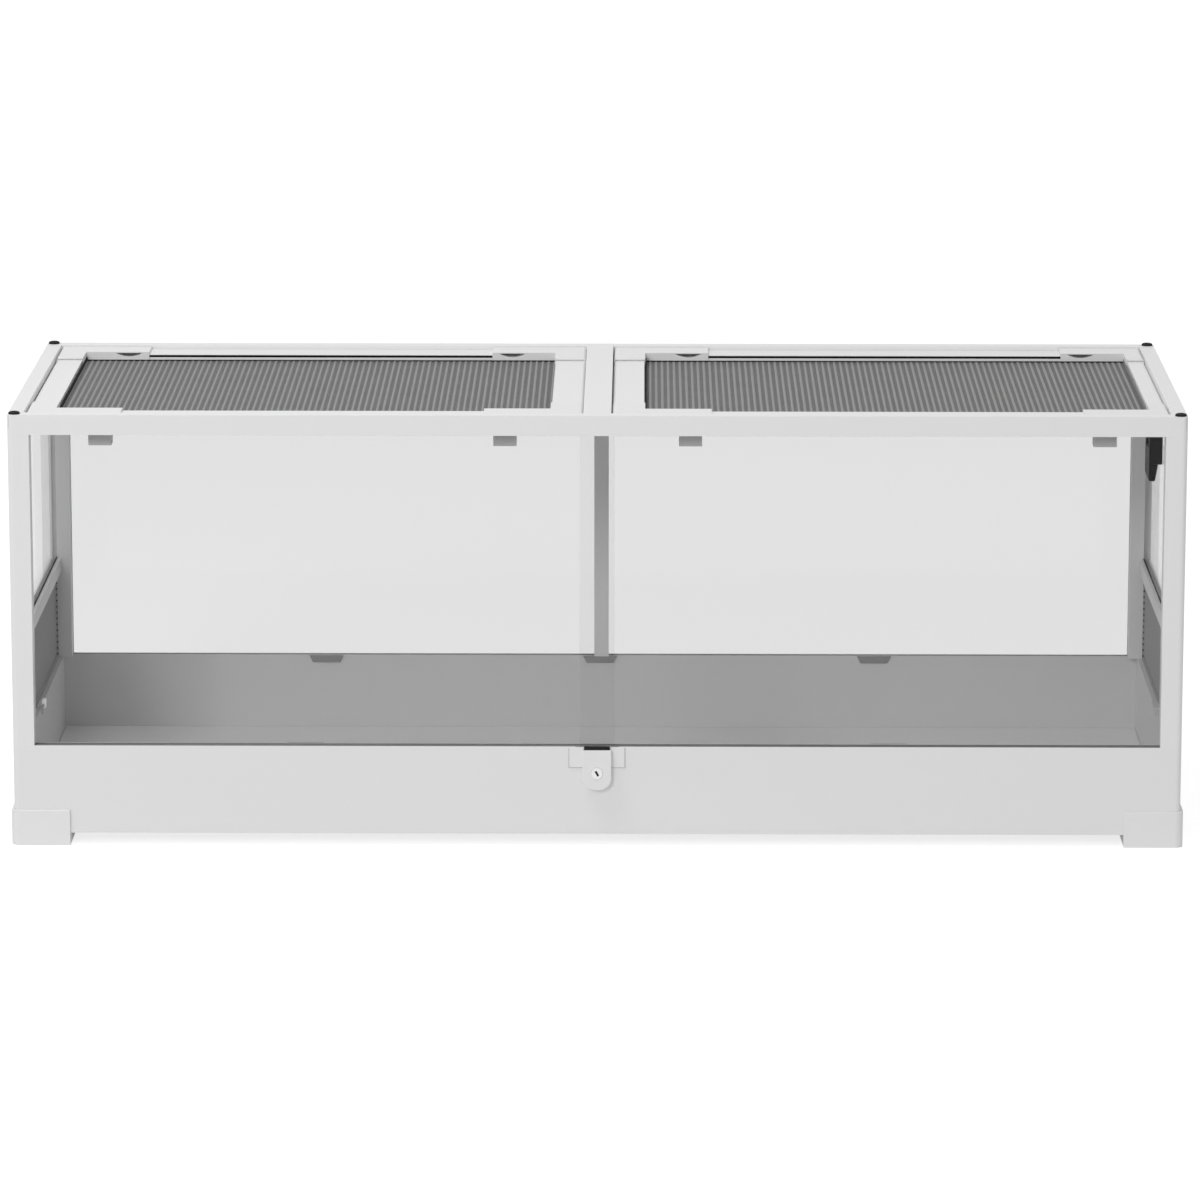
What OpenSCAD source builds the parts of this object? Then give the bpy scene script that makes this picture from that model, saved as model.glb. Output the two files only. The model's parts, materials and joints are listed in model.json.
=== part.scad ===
// Long glazed terrarium: a white profile frame on four corner shoes, two sliding glass doors
// with a key lock, glazed back and sides with low side vents, two lift-off screen lids held by
// spring latches, and a closable cable inlet in the right wall.
// The origin lies on the ground under the middle of the whole, lock and shoes included. +X is
// to the right, +Y to the rear and +Z up. All sizes are in millimetres.

/* [Case] */
// Width of the case over its corner posts
case_w = 1220; // [1000:10:1500]
// Depth of the case over its corner posts
case_d = 457; // [400:1:600]
// Height of the frame's top face above the ground
case_h = 457; // [400:1:600]

/* [Frame] */
// Side of a square corner post
post_w = 22.5; // [21:0.5:26]
// Radius of the case's upright edges
post_r = 5.5; // [2:0.5:6]
// Bore of the screw port that runs the length of a post
port_d = 6.4; // [5:0.1:7]
// Distance of the screw port from both outer faces of its post
port_inset = 7.2; // [7:0.1:8.5]
// Height of the top rails
rail_h = 21; // [20:0.5:30]
// Width of the rim that the top rails form round the lids
rim_w = 16; // [15:0.5:18]
// Wall of the hollow profiles
frame_wall = 1.8; // [1.4:0.1:2]
// Width of the ledge that carries the lids
ledge_w = 10; // [8:0.5:12]
// Thickness of that ledge
ledge_t = 2.5; // [2:0.1:3]
// Width of the brace between the lids
brace_w = 29; // [24:0.5:44]
// Width of the post in the middle of the back
centre_post_w = 16; // [14:0.5:24]
// Distance of that post to the right of the middle
centre_post_x = 1.5; // [-5:0.5:5]
// Height of the side walls' middle rail
mid_rail_h = 16; // [14:0.5:24]
// Height of that rail's lower face above the ground
mid_rail_z = 203; // [170:1:260]
// Thickness of that rail
mid_rail_t = 12; // [10:0.5:14]

/* [Base] */
// Height of the base walls' top edge above the ground
base_top = 106.5; // [90:0.5:130]
// Thickness of the rear base wall
base_t = 10; // [9:0.5:12]
// Thickness of the side base walls
base_side_t = 12.5; // [9:0.5:15]
// Height of the floor's lower face above the ground
floor_z = 21; // [17:0.5:24]
// Thickness of the floor
floor_t = 4; // [3:0.5:6]
// Width of the shelf under the floor's edge
shelf_w = 10; // [6:0.5:12]
// Thickness of that shelf
shelf_t = 3; // [2:0.5:4]
// Clearance round the floor
floor_gap = 0.3; // [0.2:0.1:1]

/* [Feet] */
// Length of a corner shoe along both walls
foot_w = 62; // [50:1:80]
// Height of a corner shoe
foot_h = 38; // [30:1:60]
// How far a shoe stands proud of the walls
foot_proud = 3; // [2.5:0.5:5]
// Height of the frame's underside above the ground
foot_lift = 13; // [11:0.5:14]
// Clearance between a shoe and the post in it
foot_fit = 0.2; // [0.1:0.1:0.4]
// Diameter of the shoe screws
screw_d = 6; // [4.6:0.2:6.2]
// Length of a shoe screw's shank
screw_len = 125; // [100:1:200]
// Diameter of its head
screw_head_d = 10; // [9:0.5:11]
// Height of its head
screw_head_h = 6; // [4:0.5:6]
// Depth that its head lies up inside the shoe
screw_sink = 1; // [0.5:0.5:3]
// Clearance round the head
screw_head_fit = 0.5; // [0.3:0.1:1]

/* [Frame screws] */
// Diameter of the round black heads on the frame's corners
plug_d = 12; // [9:0.5:13]
// Height of such a head
plug_h = 2.5; // [1.5:0.5:4]
// Length of its shank, which reaches into the post
plug_stem = 45; // [32:1:80]
// Bevel round the head
plug_bevel = 0.8; // [0.4:0.1:1.2]

/* [Glass] */
// Thickness of the fixed panes and of the vent panels' borders
glass_t = 4; // [3:0.5:5]
// Distance of a pane from the outer face of the case
glass_inset = 3; // [2.6:0.1:3.6]
// Clearance on each face of a pane in its groove
glass_fit = 0.3; // [0.1:0.1:0.5]
// Depth of the glazing grooves
groove_depth = 5.5; // [4:0.5:6]
// Gap between a pane's edge and the bottom of its groove
edge_gap = 0.3; // [0.1:0.1:0.6]

/* [Doors] */
// Thickness of the sliding doors
door_t = 4; // [3:0.5:4]
// Overlap of the two doors in the middle
door_overlap = 36; // [20:1:60]
// Clearance on each face of a door in its channel
door_side_gap = 0.45; // [0.3:0.05:0.5]
// Gap between a closed door and its post
door_end_gap = 1; // [0.5:0.5:4]
// Gap under a door in the lower track
door_foot_gap = 0.3; // [0.1:0.1:0.5]
// Height of the lower track
low_track_h = 9; // [7:0.5:12]
// How far a door reaches up into the upper track
door_head = 14; // [8:0.5:15]
// Thickness of the tracks' webs
track_web = 1; // [0.8:0.1:1.4]
// Clearance round the tracks in their profiles
track_fit = 0.1; // [0.05:0.05:0.2]

/* [Lids] */
// Depth of the lid bars' top faces below the top of the frame
lid_sink = 4.3; // [3.5:0.1:6]
// Thickness of the lid bars
lid_t = 9.7; // [9:0.1:11]
// Gap to the left of each lid
lid_gap_left = 1.2; // [0.6:0.1:3]
// Gap to the right of each lid
lid_gap_right = 0.4; // [0.4:0.1:3]
// Gap in front of and behind the lids
lid_gap_y = 0.8; // [0.5:0.1:1.5]
// Gap between a lid and the ledge below it
lid_seat_gap = 0.2; // [0.1:0.1:0.3]
// Width of a lid's front and rear bars
bar_w = 35.5; // [33:0.5:42]
// Width of the left lid's bar beside the side rail
left_bar_w = 28.5; // [19:0.5:34]
// Width of the right lid's bar beside the side rail
right_bar_w = 19; // [19:0.5:34]
// Width of the lid bar beside the brace
inner_bar_w = 33; // [24:0.5:40]
// Wall of the lid bars
bar_wall = 1.6; // [1.2:0.1:2]
// Radius of the lids' left and right top edges
lid_edge_r = 4; // [1:0.1:4]
// Height of the slot for the rubber cord that holds the screen
cord_slot_h = 2.4; // [1.5:0.1:3]
// Depth of that slot
cord_slot_d = 5; // [3:0.5:6]
// Wall left above that slot
cord_slot_cover = 1; // [0.8:0.1:1.6]

/* [Lid corners] */
// Reach of a corner piece along the front or rear bar, past the side bar
corner_arm = 70; // [66:1:100]
// Reach of a corner piece along the side bar, past the front or rear bar
corner_leg = 38; // [20:1:60]
// How far a corner piece stands above the bars
corner_rise = 2.7; // [2:0.1:4]
// How far a corner piece stands inside the bars
corner_proud = 1; // [0.5:0.1:2]
// Length of the tenons that enter the hollow bars
tenon_len = 12; // [6:1:20]
// Clearance round a tenon
tenon_fit = 0.2; // [0.1:0.1:0.4]
// Width of the finger scoop in each corner piece
scoop_w = 29; // [20:1:34]
// Height of the scoop
scoop_h = 4.1; // [3:0.1:5]
// Depth of the scoop
scoop_d = 9; // [8:0.5:12]
// Thickness of the skin above the scoop
scoop_skin = 1.2; // [1:0.1:1.5]
// Height of the shadow line under the end of a corner piece, on the side bar
seam_h = 0.9; // [0.3:0.1:1.2]
// Depth of that line
seam_d = 2; // [1:0.5:4]

/* [Lid screens] */
// Spacing of the screen's ribs
rib_pitch = 6.5; // [6:0.5:12]
// Width of a rib
rib_w = 3.1; // [2:0.1:4]
// Thickness of the screen
screen_t = 1.5; // [1:0.1:2]
// Height of the screen's lower face above the lid's lower face
screen_lift = 1.5; // [1.2:0.1:2]
// How far the screen reaches into its frame
screen_bite = 4; // [2:0.5:5]
// Clearance of the screen in its frame
screen_fit = 0.2; // [0.1:0.1:0.4]
// Number of cross ribs between the front and rear edges
cross_ribs = 1; // [0:1:2]

/* [Lid latches] */
// Distance of a latch from the side bar's inner edge
latch_reach = 48; // [40:1:50]
// Width of a latch block
latch_w = 24; // [18:1:30]
// Depth of a latch block from front to rear
latch_d = 18; // [14:1:20]
// Height of a latch block
latch_h = 22; // [14:1:30]
// Running gap between a latch and the ledge or the lid
latch_gap = 0.6; // [0.4:0.1:1]
// Width of a latch's stem
stem_w = 16; // [10:1:18]
// Thickness of a latch's stem
stem_t = 5; // [4:0.5:6]
// Distance of the stem from the outer face of its block
stem_set = 7; // [6:0.5:8]
// Clearance round the stem
stem_fit = 0.3; // [0.2:0.1:0.5]
// Travel of a latch towards the middle of the lid
latch_travel = 6; // [4:0.5:6]

/* [Side vents] */
// Width of a vent panel's solid border
vent_border = 12; // [9:1:16]
// Thickness of its perforated sheet
vent_sheet_t = 1.2; // [0.8:0.1:2]
// Spacing of its slots along the wall
vent_pitch_y = 12; // [10:1:20]
// Spacing of its slots upwards
vent_pitch_z = 16; // [12:1:24]
// Width of the strip between two slots
vent_strip = 4; // [2:0.5:6]

/* [Lock] */
// Width of the plate behind the lock
lock_plate_w = 58; // [44:1:70]
// Height of that plate
lock_plate_h = 22; // [16:1:26]
// Thickness of that plate
lock_plate_t = 1; // [0.8:0.1:2]
// Width of the lock body
lock_w = 30; // [28:1:36]
// Height of the lock body
lock_h = 42.5; // [40:0.5:52]
// Depth of the lock body in front of the case
lock_d = 9; // [8:0.5:12]
// Distance of the lock body's top below the base walls' top edge
lock_drop = 2; // [1:0.5:4]
// Radius of its lower corners
lock_r = 13; // [8:0.5:14]
// Diameter of the key cylinder
key_d = 12; // [9:0.5:13]
// Height of the key cylinder's centre above the lock body's lower end
key_rise = 18; // [15:0.5:18.5]
// Running clearance round the key cylinder
key_fit = 0.08; // [0.02:0.02:0.1]
// How far the key cylinder stands proud of the lock body
key_proud = 0.6; // [0.3:0.1:1.5]
// Depth of the key cylinder inside the lock body
key_depth = 7; // [4:0.5:7.5]
// Width of the keyhole
keyhole_w = 1.5; // [1:0.1:2]
// Length of the keyhole
keyhole_l = 5.6; // [4:0.1:7]
// Depth of the keyhole
keyhole_d = 4; // [2:0.5:4]
// Angle of the keyhole from upright
keyhole_tilt = 29; // [0:1:45]
// Width of the black bolt above the lock
bolt_w = 27; // [20:0.5:27]
// Thickness of the bolt
bolt_t = 3.4; // [2:0.1:4]
// How far the bolt stands above the lock body at rest
bolt_show = 3.3; // [2.5:0.1:5]
// Depth of the bolt inside the lock body
bolt_depth = 15; // [10:0.5:17]
// Clearance round the bolt
bolt_fit = 0.3; // [0.1:0.1:0.5]
// Distance from the lock body's front face to the bolt
bolt_set = 3; // [2:0.5:3.5]
// Travel of the bolt when the key turns
bolt_travel = 5; // [3:0.5:8]

/* [Base clips] */
// Width of a clip at its top
clip_w = 38; // [24:1:50]
// Width of a clip at its lower end
clip_foot_w = 30; // [16:1:40]
// Height of a clip
clip_h = 8; // [6:0.5:12]
// Thickness of a clip
clip_t = 2.5; // [1.5:0.1:4]
// Distance of a wall clip's top below the wall's top edge
clip_drop = 0; // [0:0.5:4]
// Distance of the outer clips from the middle of the case
clip_x = 305; // [200:5:420]
// Distance of the side clips behind the middle of the case
clip_y = -31; // [-60:1:60]
// Thickness of the side clips' hooks, which lie on the walls
hook_t = 1.5; // [1:0.1:3]

/* [Cable inlet] */
// Width of the inlet housing along the wall
inlet_w = 56; // [50:1:110]
// Height of the inlet housing
inlet_h = 71; // [60:1:90]
// Thickness of the inlet housing
inlet_t = 14; // [10:0.5:15]
// Distance of the inlet behind the middle of the case
inlet_y = 24.5; // [10:0.5:80]
// Width of the cable hole
cable_w = 30; // [20:1:36]
// Height of the cable hole
cable_h = 22; // [14:1:24]
// Distance of the cable hole above the housing's lower edge
cable_rise = 15; // [10:1:16]
// Width of the sliding gate
gate_w = 44; // [40:1:48]
// Thickness of the gate
gate_t = 3; // [2:0.5:4]
// Distance of the gate from the housing's inner face
gate_set = 4; // [2:0.5:4]
// Clearance round the gate
gate_fit = 0.2; // [0.1:0.1:0.4]
// Strip of the gate above its hole, which covers the cable hole when the gate is down
gate_head = 25; // [25:1:28]
// Width of the gate's grip
grip_w = 56; // [24:1:60]
// How far the grip hangs below the housing
grip_drop = 18; // [12:1:24]
// Thickness of the grip at its top
grip_t = 9.5; // [8:0.5:11]
// Thickness of the grip at its lower edge
grip_foot_t = 6.5; // [3:0.5:8]
// Gap between the housing and the grip
grip_gap = 0.3; // [0.2:0.1:1]

/* [Hidden] */

// Names of the two sides of the case and of its two ends
LEFT = -1;
RIGHT = 1;
FRONT = -1;
REAR = 1;

// Colours of the finishes
WHITE = "#dedede";
GLASS = [0.85, 0.93, 0.91, 0.3];
MESH = "#5f6061";
BLACK = "#26272a";
GREY = "#9a9c9e";
STEEL = "#b9bbbd";

// Length that every cutting shape runs past the face it opens
cut = 1;
// How far a mitre runs inwards, in widths of the members that it joins
mitre_reach = 3;
smooth = 64;

half_w = case_w / 2;
half_d = case_d / 2;
// Half the clear length between two posts along X and along Y
span_x = half_w - post_w;
span_y = half_d - post_w;
rail_z = case_h - rail_h;
mid_rail_top = mid_rail_z + mid_rail_h;

// How far a pane enters its groove
engage = groove_depth - edge_gap;
groove_w = glass_t + 2 * glass_fit;

// Levels of the lids and of the ledge that carries them
lid_top = case_h - lid_sink;
lid_z = lid_top - lid_t;
ledge_top = lid_z - lid_seat_gap;
corner_top = lid_top + corner_rise;

// Plan of a lid, which is drawn about its own middle with its outer bar on the +X side
lid_w = half_w - rim_w - brace_w / 2 - lid_gap_left - lid_gap_right;
lid_d = case_d - 2 * rim_w - 2 * lid_gap_y;
open_d = lid_d - 2 * bar_w;
screen_z = lid_z + screen_lift;

// Cross-section of a door track
track_w = rim_w - 2 * frame_wall - 2 * track_fit;
channel_w = door_t + 2 * door_side_gap;
channel_wall = (track_w - 2 * channel_w) / 3;
low_track_top = base_top - track_fit;
low_track_z = low_track_top - low_track_h;

// Levels of the latches: block top, and the roof of the stem slot and the scoop
latch_top = lid_z - latch_gap;
scoop_top = corner_top - scoop_skin;
// Distances from a lid's outer edge to a latch block and to its stem
latch_in = ledge_w - lid_gap_y + latch_gap;
stem_in = latch_in + stem_set;

// Levels of the lock
lock_top = base_top - lock_drop;
lock_z = lock_top - lock_h;
key_z = lock_z + key_rise;
lock_back = -half_d - lock_plate_t;
lock_face = -half_d - lock_d;

inlet_z = rail_z - inlet_h;
inlet_face = half_w - glass_inset - glass_t - inlet_t;
cable_z = inlet_z + cable_rise;

// Moves a shape from the middle of the case to the middle of the whole box, lock and shoes included
module on_ground() {
    translate([0, (lock_d + key_proud - foot_proud) / 2, 0]) children();
}

// Turns a shape made for the right side into the one for the left side
module for_side(side) {
    if (side == LEFT) mirror([1, 0, 0]) children();
    else children();
}

// Turns a shape made for the rear into the one for the front
module for_end(end) {
    if (end == FRONT) mirror([0, 1, 0]) children();
    else children();
}

// Extrudes a section along X, drawn as distance in from the rear face against height
module along_x(from, to) {
    translate([from, half_d, 0])
        rotate([90, 0, 90])
            linear_extrude(to - from)
                mirror([1, 0]) children();
}

// Extrudes a section along Y, drawn as distance in from the right face against height
module along_y(from, to) {
    translate([half_w, to, 0])
        rotate([90, 0, 0])
            linear_extrude(to - from)
                mirror([1, 0]) children();
}

// A square that starts at the origin and has its far corner rounded
module corner_square(size, r) {
    square([size, size - r]);
    square([size - r, size]);
    translate([size - r, size - r]) circle(r, $fn = smooth);
}

// A rectangle given by its lowest and highest corners
module span_rect(low, high) {
    translate(low) square(high - low);
}

// A box given by its lowest and highest corners
module span_box(low, high) {
    translate(low) cube(high - low);
}

// Groove for a pane, open at the level given and running up (1) or down (-1) from there
module pane_groove(level, way) {
    translate([glass_inset - glass_fit, way > 0 ? level - cut : level - groove_depth])
        square([groove_w, groove_depth + cut]);
}

// What a member of the base or of the top frame loses at the right rear corner: its part beyond
// the mitre, the sliver outside the rounded corner and the bore of the corner's screw. The sizes
// are the widths of the side member and of the end member; the member runs along X or along Y.
module corner_cut(widths, runs_x, from, to) {
    corner = [half_w, half_d];
    outside = corner + widths;
    inside = corner - mitre_reach * widths;
    translate([0, 0, from - cut])
        linear_extrude(to - from + 2 * cut) {
            polygon([outside, inside, runs_x ? [outside.x, inside.y] : [inside.x, outside.y]]);
            translate(corner - [post_r, post_r])
                difference() {
                    square(post_r + cut);
                    circle(post_r, $fn = smooth);
                }
            translate(corner - [port_inset, port_inset]) circle(d = port_d, $fn = smooth);
        }
}

// Member of the base or of the top frame along the rear: its section, mitred at both ends
module end_member(widths, from, to) {
    difference() {
        along_x(-half_w, half_w) children();
        for (side = [LEFT, RIGHT]) for_side(side) corner_cut(widths, true, from, to);
    }
}

// Member along the right side, mitred to the front and rear members
module side_member(front_widths, rear_widths, from, to) {
    difference() {
        along_y(-half_d, half_d) children();
        for_end(FRONT) corner_cut(front_widths, false, from, to);
        corner_cut(rear_widths, false, from, to);
    }
}

// ---- posts, screws and feet ----

// Cross-section of a corner post, at the right rear corner
module post_section(rear) {
    difference() {
        translate([span_x, span_y]) corner_square(post_w, post_r);
        // screw port
        translate([half_w - port_inset, half_d - port_inset]) circle(d = port_d, $fn = smooth);
        // groove for the side pane
        translate([half_w - glass_inset - glass_t - glass_fit, span_y - cut])
            square([groove_w, groove_depth + cut]);
        // groove for the rear pane
        if (rear)
            translate([span_x - cut, half_d - glass_inset - glass_t - glass_fit])
                square([groove_depth + cut, groove_w]);
    }
}

module post(side, end) {
    color(WHITE) on_ground()
        for_side(side)
            for_end(end)
                translate([0, 0, base_top])
                    linear_extrude(rail_z - base_top) post_section(end == REAR);
}

module post_plugs() {
    color(BLACK) on_ground()
        for (side = [LEFT, RIGHT], end = [FRONT, REAR])
            translate([side * (half_w - port_inset), end * (half_d - port_inset), case_h])
                rotate_extrude($fn = smooth)
                    polygon([
                        [0, -plug_stem],
                        [screw_d / 2, -plug_stem],
                        [screw_d / 2, 0],
                        [plug_d / 2, 0],
                        [plug_d / 2, plug_h - plug_bevel],
                        [plug_d / 2 - plug_bevel, plug_h],
                        [0, plug_h]
                    ]);
}

module foot(side, end) {
    floor_edge = foot_proud - foot_w;
    color(WHITE) on_ground()
        for_side(side)
            for_end(end)
                difference() {
                    translate([half_w + floor_edge, half_d + floor_edge, 0])
                        linear_extrude(foot_h) corner_square(foot_w, post_r + foot_proud);
                    // seat of the post and the walls
                    translate([half_w + floor_edge - cut, half_d + floor_edge - cut, foot_lift])
                        linear_extrude(foot_h)
                            corner_square(foot_w - foot_proud + foot_fit + cut, post_r + foot_fit);
                    translate([half_w - port_inset, half_d - port_inset, -cut]) {
                        cylinder(d = port_d, h = foot_lift + 2 * cut, $fn = smooth);
                        cylinder(
                            d = screw_head_d + 2 * screw_head_fit,
                            h = screw_sink + screw_head_h + cut,
                            $fn = smooth
                        );
                    }
                }
}

module foot_screws() {
    color(STEEL) on_ground()
        for (side = [LEFT, RIGHT], end = [FRONT, REAR])
            translate([side * (half_w - port_inset), end * (half_d - port_inset), screw_sink]) {
                cylinder(d = screw_head_d, h = screw_head_h, $fn = smooth);
                cylinder(d = screw_d, h = screw_head_h + screw_len, $fn = smooth);
            }
}

// ---- base ----

// Shelf for the floor, along a wall of the thickness given
module floor_shelf(wall) {
    span_rect([wall - cut, floor_z - shelf_t], [wall + shelf_w, floor_z]);
}

module base_wall_section(wall) {
    difference() {
        span_rect([0, foot_lift], [wall, base_top]);
        pane_groove(base_top, -1);
    }
    floor_shelf(wall);
}

module base_panel_front() {
    pocket_z = low_track_z - track_fit;
    color(WHITE) on_ground()
        for_end(FRONT)
            end_member([base_side_t, rim_w], foot_lift, base_top) {
                difference() {
                    span_rect([0, foot_lift], [rim_w, base_top]);
                    // pocket of the lower door track
                    span_rect([frame_wall, pocket_z], [rim_w - frame_wall, base_top + cut]);
                    // hollow below it
                    span_rect(
                        [frame_wall, foot_lift + frame_wall],
                        [rim_w - frame_wall, pocket_z - frame_wall]
                    );
                }
                floor_shelf(rim_w);
            }
}

module base_panel_rear() {
    color(WHITE) on_ground()
        end_member([base_side_t, base_t], foot_lift, base_top) base_wall_section(base_t);
}

module base_panel_side(side) {
    color(WHITE) on_ground()
        for_side(side)
            side_member([base_side_t, rim_w], [base_side_t, base_t], foot_lift, base_top)
                base_wall_section(base_side_t);
}

module floor_panel() {
    edge = half_w - base_side_t - floor_gap;
    color(WHITE) on_ground()
        span_box(
            [-edge, -half_d + rim_w + floor_gap, floor_z],
            [edge, half_d - base_t - floor_gap, floor_z + floor_t]
        );
}

// One clip on the inner face of a wall: its back lies in the plane y = 0 and its top at z = 0
module base_clip() {
    rotate([90, 0, 0])
        linear_extrude(clip_t)
            polygon([
                [-clip_w / 2, 0],
                [-clip_foot_w / 2, -clip_h],
                [clip_foot_w / 2, -clip_h],
                [clip_w / 2, 0]
            ]);
}

module base_clips() {
    clip_z = base_top - clip_drop;
    color(GREY) on_ground() {
        for (x = [-clip_x, 0, clip_x]) translate([x, half_d - base_t, clip_z]) base_clip();
        for (x = [-clip_x, clip_x])
            translate([x, -half_d + rim_w, clip_z]) rotate([0, 0, 180]) base_clip();
        for (side = [LEFT, RIGHT])
            for_side(side) {
                translate([half_w - base_side_t, clip_y, base_top]) rotate([0, 0, -90]) base_clip();
                span_box(
                    [half_w - base_side_t - clip_t, clip_y - clip_foot_w / 2, base_top],
                    [
                        half_w - glass_inset - glass_t - edge_gap,
                        clip_y + clip_foot_w / 2,
                        base_top + hook_t
                    ]
                );
            }
    }
}

// ---- top frame ----

// Section of a glazed top rail with its glazing groove and its hollow
module top_rail_section() {
    difference() {
        span_rect([0, rail_z], [rim_w, case_h]);
        pane_groove(rail_z, 1);
        span_rect(
            [frame_wall, rail_z + groove_depth + frame_wall],
            [rim_w - frame_wall, case_h - frame_wall]
        );
    }
}

// Section of the ledge on a top rail's inner face
module ledge_section() {
    span_rect([rim_w - cut, ledge_top - ledge_t], [rim_w + ledge_w, ledge_top]);
}

module top_rail_front() {
    color(WHITE) on_ground()
        for_end(FRONT)
            end_member([rim_w, rim_w], rail_z, case_h) {
                difference() {
                    span_rect([0, rail_z], [rim_w, case_h]);
                    // pocket of the upper door track
                    span_rect(
                        [frame_wall, rail_z - cut],
                        [rim_w - frame_wall, case_h - frame_wall]
                    );
                }
                span_rect(
                    [rim_w - frame_wall, ledge_top - ledge_t],
                    [rim_w + ledge_w, ledge_top]
                );
            }
}

module top_rail_rear() {
    color(WHITE) on_ground()
        end_member([rim_w, rim_w], rail_z, case_h) {
            top_rail_section();
            ledge_section();
        }
}

module top_rail_side(side) {
    color(WHITE) on_ground()
        for_side(side)
            side_member([rim_w, rim_w], [rim_w, rim_w], rail_z, case_h) {
                top_rail_section();
                ledge_section();
            }
}

module lid_brace() {
    reach = half_d - rim_w;
    inner_reach = reach - ledge_w;
    half = brace_w / 2;
    color(WHITE) on_ground()
        difference() {
            union() {
                span_box([-half, -reach, ledge_top], [half, reach, case_h]);
                span_box([-half, -inner_reach, rail_z], [half, inner_reach, ledge_top]);
                span_box(
                    [-half - ledge_w, -inner_reach, ledge_top - ledge_t],
                    [half + ledge_w, inner_reach, ledge_top]
                );
            }
            span_box(
                [-half + frame_wall, -reach - cut, ledge_top + frame_wall],
                [half - frame_wall, reach + cut, case_h - frame_wall]
            );
        }
}

module rear_centre_post() {
    half = centre_post_w / 2;
    groove_y = half_d - glass_inset - glass_t - glass_fit;
    color(WHITE) on_ground()
        translate([centre_post_x, 0, 0])
            difference() {
                span_box([-half, half_d - rim_w, base_top], [half, half_d, rail_z]);
                for (side = [LEFT, RIGHT])
                    for_side(side)
                        span_box(
                            [half - groove_depth, groove_y, base_top - cut],
                            [half + cut, groove_y + groove_w, rail_z + cut]
                        );
            }
}

module mid_rail(side) {
    color(WHITE) on_ground()
        for_side(side)
            along_y(-span_y, span_y)
                difference() {
                    span_rect([0, mid_rail_z], [mid_rail_t, mid_rail_top]);
                    pane_groove(mid_rail_top, -1);
                    pane_groove(mid_rail_z, 1);
                }
}

// ---- glass and vents ----

// Face of the outline of a pane, as distance in from the outer face
module pane(from_z, to_z) {
    span_rect([glass_inset, from_z], [glass_inset + glass_t, to_z]);
}

module rear_glass(side) {
    color(GLASS) on_ground()
        for_side(side)
            along_x(side * centre_post_x + centre_post_w / 2 - engage, span_x + engage)
                pane(base_top - engage, rail_z + engage);
}

module side_glass(side) {
    color(GLASS) on_ground()
        for_side(side)
            difference() {
                along_y(-span_y - engage, span_y + engage)
                    pane(mid_rail_top - engage, rail_z + engage);
                // cut-out behind the cable inlet
                if (side == RIGHT) cable_hole();
            }
}

module vent_panel(side) {
    low = base_top - engage;
    high = mid_rail_z + engage;
    length = span_y + engage;
    sheet_y = length - engage - vent_border;
    sheet_z = [base_top + vent_border, mid_rail_z - vent_border];
    columns = floor((2 * sheet_y + vent_strip) / vent_pitch_y);
    rows = floor((sheet_z[1] - sheet_z[0] + vent_strip) / vent_pitch_z);
    slot = [vent_pitch_y - vent_strip, vent_pitch_z - vent_strip];
    sheet_x = half_w - glass_inset - glass_t / 2;
    middle_z = (sheet_z[0] + sheet_z[1]) / 2;
    color(MESH) on_ground()
        for_side(side)
            translate([sheet_x, 0, 0]) {
                difference() {
                    span_box([-glass_t / 2, -length, low], [glass_t / 2, length, high]);
                    span_box(
                        [-glass_t, -sheet_y, sheet_z[0]],
                        [glass_t, sheet_y, sheet_z[1]]
                    );
                }
                // perforated sheet
                rotate([90, 0, 90])
                    linear_extrude(vent_sheet_t, center = true)
                        difference() {
                            span_rect(
                                [-sheet_y - cut, sheet_z[0] - cut],
                                [sheet_y + cut, sheet_z[1] + cut]
                            );
                            for (c = [0 : columns - 1], r = [0 : rows - 1])
                                translate([
                                    (c - (columns - 1) / 2) * vent_pitch_y - slot[0] / 2,
                                    middle_z + (r - (rows - 1) / 2) * vent_pitch_z - slot[1] / 2
                                ])
                                    square(slot);
                        }
            }
}

// ---- sliding doors ----

// Section of a twin track with its channels open upwards, standing at the height given
module track_section(height) {
    difference() {
        translate([frame_wall + track_fit, 0]) square([track_w, height]);
        for (lane = [0, 1])
            translate([lane_in(lane) - door_side_gap, track_web])
                square([channel_w, height]);
    }
}

// Distance from the front face to a door: lane 0 is the front channel and lane 1 the rear one
function lane_in(lane) =
    frame_wall + track_fit + channel_wall + door_side_gap + lane * (channel_w + channel_wall);

module door_track_upper() {
    top = case_h - frame_wall - track_fit;
    color(GREY) on_ground()
        for_end(FRONT)
            along_x(-span_x, span_x)
                translate([0, top]) mirror([0, 1]) track_section(top - rail_z - track_fit);
}

module door_track_lower() {
    color(GREY) on_ground()
        for_end(FRONT)
            along_x(-span_x, span_x)
                translate([0, low_track_z]) track_section(low_track_h);
}

module door(side, lane) {
    color(GLASS) on_ground()
        for_side(side)
            for_end(FRONT)
                along_x(-door_overlap / 2, span_x - door_end_gap)
                    span_rect(
                        [lane_in(lane), low_track_z + track_web + door_foot_gap],
                        [lane_in(lane) + door_t, rail_z + door_head]
                    );
}

// ---- lock ----

module lock_plate() {
    color(WHITE) on_ground()
        span_box(
            [-lock_plate_w / 2, lock_back, base_top - lock_plate_h],
            [lock_plate_w / 2, -half_d, base_top]
        );
}

// Front outline of the lock body
module lock_outline() {
    translate([-lock_w / 2, lock_z + lock_r]) square([lock_w, lock_h - lock_r]);
    translate([-lock_w / 2 + lock_r, lock_z]) square([lock_w - 2 * lock_r, lock_r + cut]);
    for (side = [LEFT, RIGHT])
        translate([side * (lock_w / 2 - lock_r), lock_z + lock_r]) circle(lock_r, $fn = smooth);
}

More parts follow.
